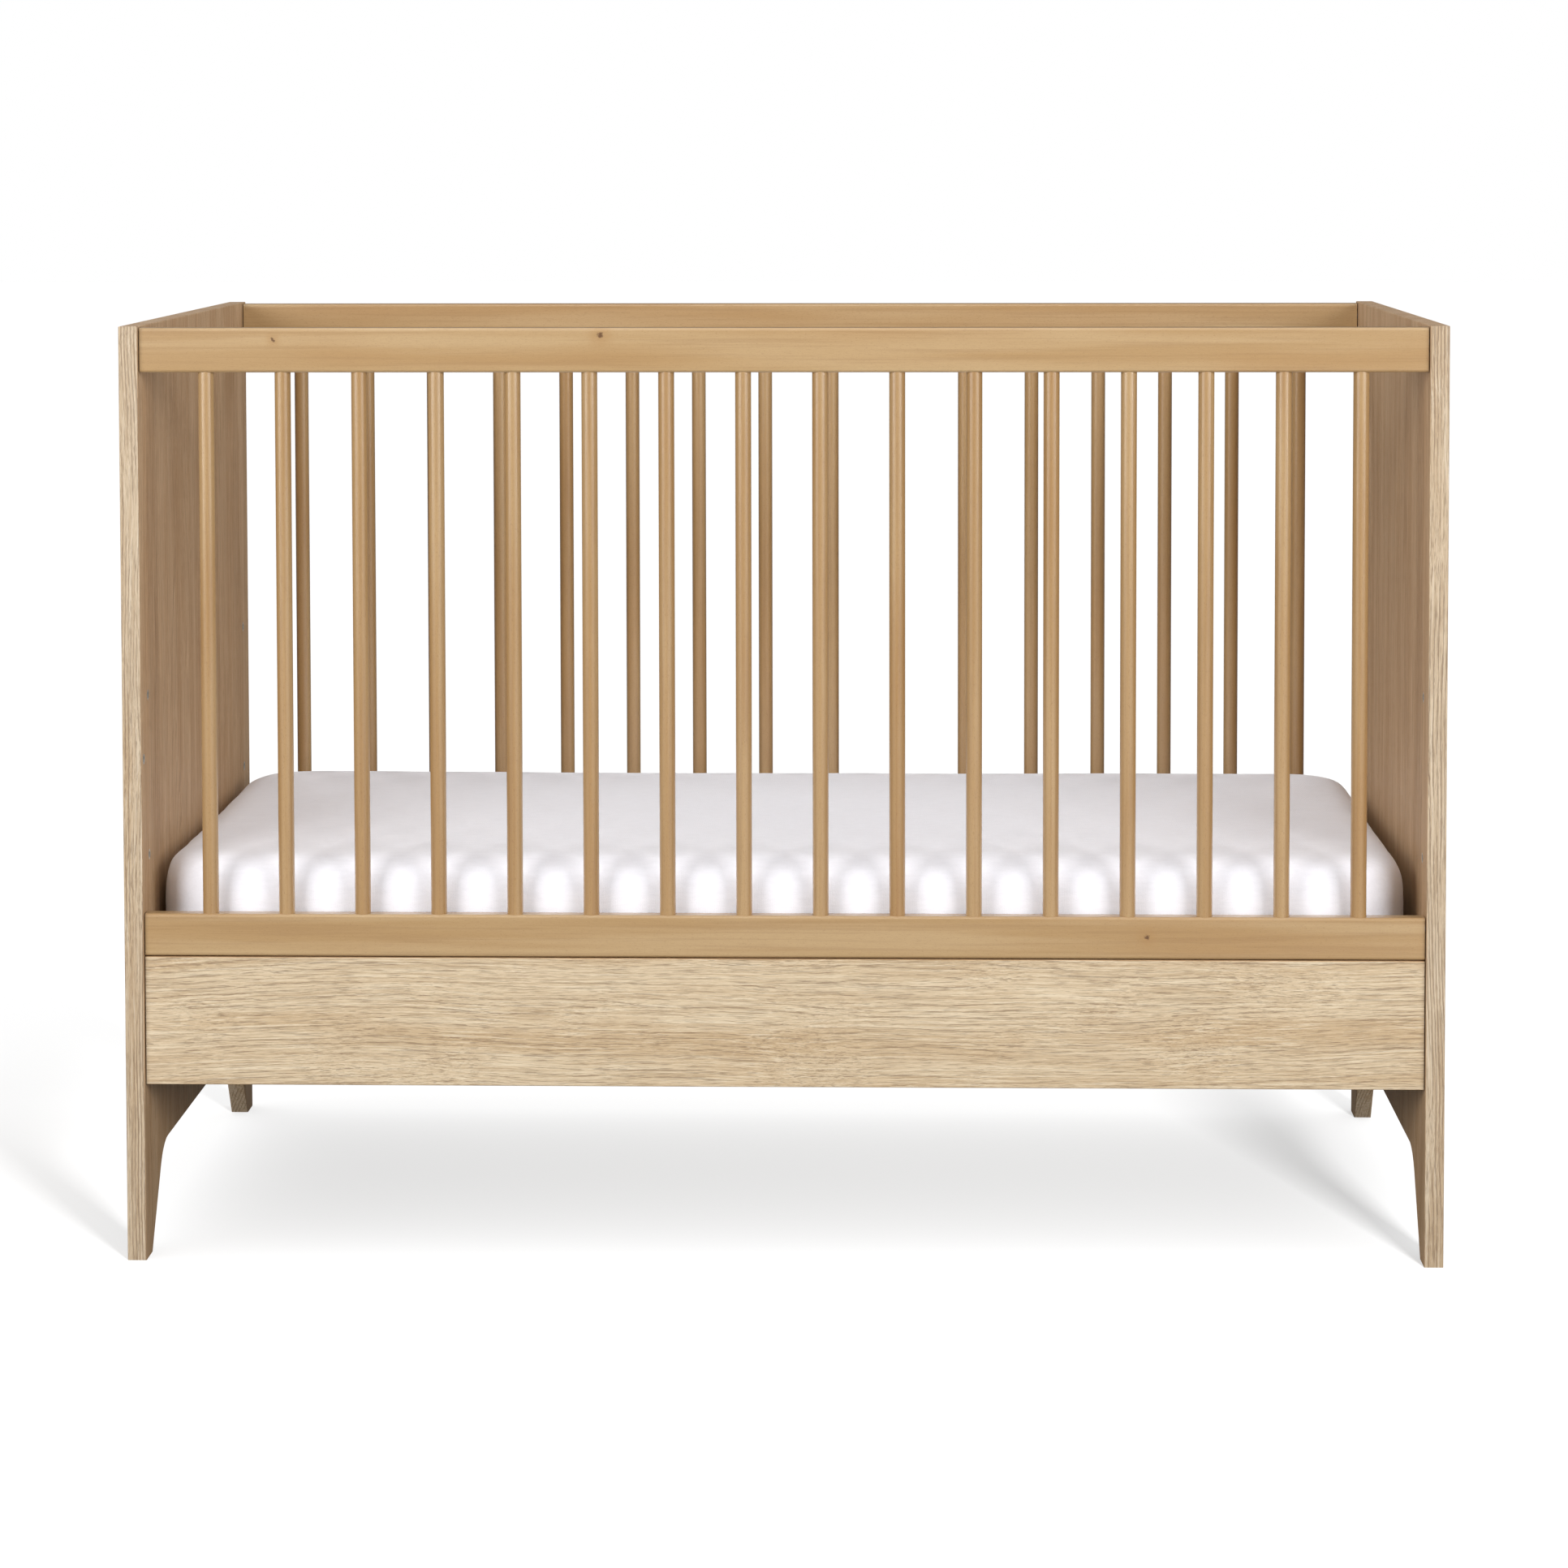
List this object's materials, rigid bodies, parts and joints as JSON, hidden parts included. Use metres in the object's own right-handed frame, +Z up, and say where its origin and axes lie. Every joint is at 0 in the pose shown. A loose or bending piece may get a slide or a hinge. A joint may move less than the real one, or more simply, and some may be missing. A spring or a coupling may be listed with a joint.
{
  "type": "baby crib",
  "caption": "Baby crib: solid end panels on slanted legs, round spindles between beech rails, decor aprons, a slatted base set at several heights and a mattress in a fitted sheet.",
  "frame": {"origin": "on the floor under the centre of the crib", "axes": "+X along the crib's length, +Y from the front side to the back side, +Z up"},
  "size_m": [1.244, 0.654, 0.887],
  "materials": {
    "oak_decor": "satin",
    "beech": "satin",
    "base_wood": "matte",
    "dowel_wood": "matte",
    "steel": "satin",
    "zinc": "satin",
    "mattress_cover": "matte",
    "sheet_jersey": "matte"
  },
  "bodies": {
    "crib_frame": {"end_panel_left": "oak_decor", "end_panel_right": "oak_decor", "front_top_rail": "beech", "front_bottom_rail": "beech", "front_apron": "oak_decor", "front_spindle_01": "beech", "front_spindle_02": "beech", "front_spindle_03": "beech", "front_spindle_04": "beech", "front_spindle_05": "beech", "front_spindle_06": "beech", "front_spindle_07": "beech", "front_spindle_08": "beech", "front_spindle_09": "beech", "front_spindle_10": "beech", "front_spindle_11": "beech", "front_spindle_12": "beech", "front_spindle_13": "beech", "front_spindle_14": "beech", "front_spindle_15": "beech", "front_spindle_16": "beech", "back_top_rail": "beech", "back_bottom_rail": "beech", "back_apron": "oak_decor", "back_spindle_01": "beech", "back_spindle_02": "beech", "back_spindle_03": "beech", "back_spindle_04": "beech", "back_spindle_05": "beech", "back_spindle_06": "beech", "back_spindle_07": "beech", "back_spindle_08": "beech", "back_spindle_09": "beech", "back_spindle_10": "beech", "back_spindle_11": "beech", "back_spindle_12": "beech", "back_spindle_13": "beech", "back_spindle_14": "beech", "back_spindle_15": "beech", "back_spindle_16": "beech", "connector_bolts": "steel", "barrel_nuts": "steel", "rail_dowels": "dowel_wood", "height_insert_nuts": "zinc", "safety_rail_insert": "zinc", "base_bolts": "steel", "base_washers": "steel"},
    "mattress_base": {"base_end_rail_left": "base_wood", "base_end_rail_right": "base_wood", "base_long_rail_front": "base_wood", "base_long_rail_back": "base_wood", "base_slats": "base_wood", "slat_screws": "steel", "base_frame_screws": "steel"},
    "bedding": {"mattress": "mattress_cover", "fitted_sheet": "sheet_jersey"}
  },
  "joints": [
    {"name": "base_height", "type": "slide", "parent": "crib_frame", "child": "mattress_base", "axis": [0, 0, 1], "range_m": [0, 0.305]},
    {"name": "mattress_lift", "type": "slide", "parent": "mattress_base", "child": "bedding", "axis": [0, 0, 1], "range_m": [0, 0.65]}
  ]
}
